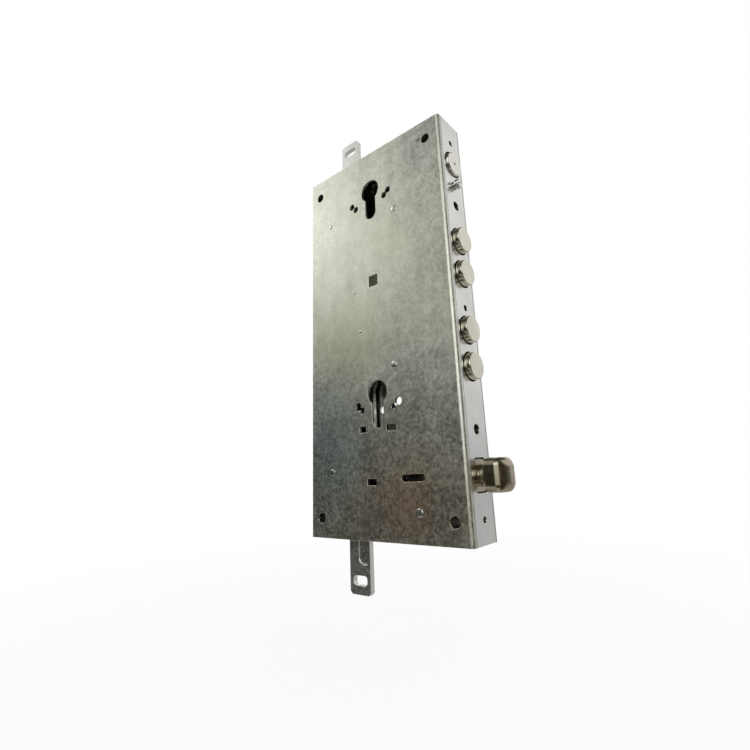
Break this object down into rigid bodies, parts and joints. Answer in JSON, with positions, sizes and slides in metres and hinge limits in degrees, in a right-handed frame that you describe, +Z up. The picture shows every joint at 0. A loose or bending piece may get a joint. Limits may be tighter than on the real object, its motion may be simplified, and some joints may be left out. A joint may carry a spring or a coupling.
{
  "type": "mortise lock",
  "caption": "Box mortise lock for an armoured door: round deadbolts, service bolt, sprung latch, vertical rods and euro-cylinder seats in a zinc-plated case.",
  "frame": {"origin": "on the faceplate's outer face, in the middle of its width, level with the middle of the deadbolt group", "axes": "+X out of the faceplate towards the door frame, +Y towards the back plate, +Z up"},
  "size_m": [0.155, 0.0303, 0.3664],
  "materials": {
    "zinc_sheet": "mottled zinc-plated sheet, satin",
    "rod_zinc": "zinc-plated strip, satin",
    "faceplate_steel": "satin",
    "nickel_bolt": "nickel-plated, polished",
    "inner_steel": "oiled pressed steel",
    "rivet_steel": "bright, peened",
    "spring_steel": "bright spring wire",
    "follower_steel": "zinc-plated sintered steel"
  },
  "bodies": {
    "case": {"back_shell": "zinc_sheet", "cover_plate": "zinc_sheet", "faceplate": "faceplate_steel", "upper_rear_tube": "inner_steel", "upper_front_tube": "inner_steel", "lower_rear_tube": "inner_steel", "lower_front_tube": "inner_steel", "upper_rod_guide_post": "rivet_steel", "lower_rod_guide_post": "rivet_steel", "upper_spacer_post": "rivet_steel", "link_guide_post": "rivet_steel", "crank_pivot_post": "rivet_steel", "rod_rest_stud": "rivet_steel", "carriage_rest_stud": "rivet_steel", "pinion_axle": "inner_steel", "axle_clip": "spring_steel", "deadbolt_guide": "inner_steel", "service_bolt_guide": "inner_steel", "latch_guide": "inner_steel", "link_spring_peg": "rivet_steel", "latch_spring_bracket": "inner_steel", "cylinder_fixing_screw": "rivet_steel", "link_spring": "spring_steel", "latch_spring": "spring_steel"},
    "bolt_carriage": {"deadbolt_1": "nickel_bolt", "deadbolt_2": "nickel_bolt", "deadbolt_3": "nickel_bolt", "deadbolt_4": "nickel_bolt", "deadbolt_rivet_1": "rivet_steel", "deadbolt_rivet_2": "rivet_steel", "deadbolt_rivet_3": "rivet_steel", "deadbolt_rivet_4": "rivet_steel", "carriage_plate": "inner_steel", "drive_rack": "inner_steel", "rack_rivet_1": "rivet_steel", "rack_rivet_2": "rivet_steel"},
    "pinion": {"rod_pinion": "inner_steel"},
    "upper_rod": {"top_rod": "rod_zinc"},
    "lower_rod": {"bottom_rod": "rod_zinc"},
    "service": {"service_bolt": "nickel_bolt", "service_rivet": "rivet_steel", "service_plate": "inner_steel"},
    "follower": {"handle_follower": "follower_steel"},
    "link": {"latch_link": "zinc_sheet", "link_pin": "rivet_steel"},
    "crank": {"latch_crank": "inner_steel"},
    "latch": {"latch_bolt": "nickel_bolt", "latch_tail": "inner_steel", "latch_tail_rivet": "rivet_steel", "latch_drive_pin": "rivet_steel", "spring_guide_rod": "rivet_steel"}
  },
  "joints": [
    {"name": "bolt_throw", "type": "slide", "parent": "case", "child": "bolt_carriage", "axis": [1, 0, 0], "range_m": [0, 0.024]},
    {"name": "pinion_turn", "type": "hinge", "parent": "case", "child": "pinion", "pos_m": [-0.1, 0, 0], "axis": [0, -1, 0], "range_deg": [0, 137.52]},
    {"name": "upper_rod_lift", "type": "slide", "parent": "case", "child": "upper_rod", "axis": [0, 0, 1], "range_m": [0, 0.024]},
    {"name": "lower_rod_drop", "type": "slide", "parent": "case", "child": "lower_rod", "axis": [0, 0, -1], "range_m": [0, 0.024]},
    {"name": "service_throw", "type": "slide", "parent": "case", "child": "service", "axis": [1, 0, 0], "range_m": [0, 0.018]},
    {"name": "handle_turn", "type": "hinge", "parent": "case", "child": "follower", "pos_m": [-0.0675, 0, 0.0315], "axis": [0, -1, 0], "range_deg": [0, 45], "stiffness_Nm_per_rad": 0.6, "springref_deg": -11.46},
    {"name": "link_slide", "type": "slide", "parent": "case", "child": "link", "axis": [0, 0, -1], "range_m": [0, 0.00996], "deforming": ["link_spring"]},
    {"name": "crank_turn", "type": "hinge", "parent": "case", "child": "crank", "pos_m": [-0.0365, 0, -0.133], "axis": [0, -1, 0], "range_deg": [0, 41.75]},
    {"name": "latch_slide", "type": "slide", "parent": "case", "child": "latch", "axis": [-1, 0, 0], "range_m": [0, 0.01601], "deforming": ["latch_spring"]}
  ],
  "couplings": [
    {"joint": "pinion_turn", "follows": "bolt_throw", "rad_per_m": 100},
    {"joint": "upper_rod_lift", "follows": "bolt_throw", "ratio": 1},
    {"joint": "lower_rod_drop", "follows": "bolt_throw", "ratio": 1},
    {"joint": "link_slide", "follows": "handle_turn", "m_per_rad": 0.012668},
    {"joint": "crank_turn", "follows": "handle_turn", "ratio": 0.92687},
    {"joint": "latch_slide", "follows": "handle_turn", "m_per_rad": 0.020372}
  ]
}
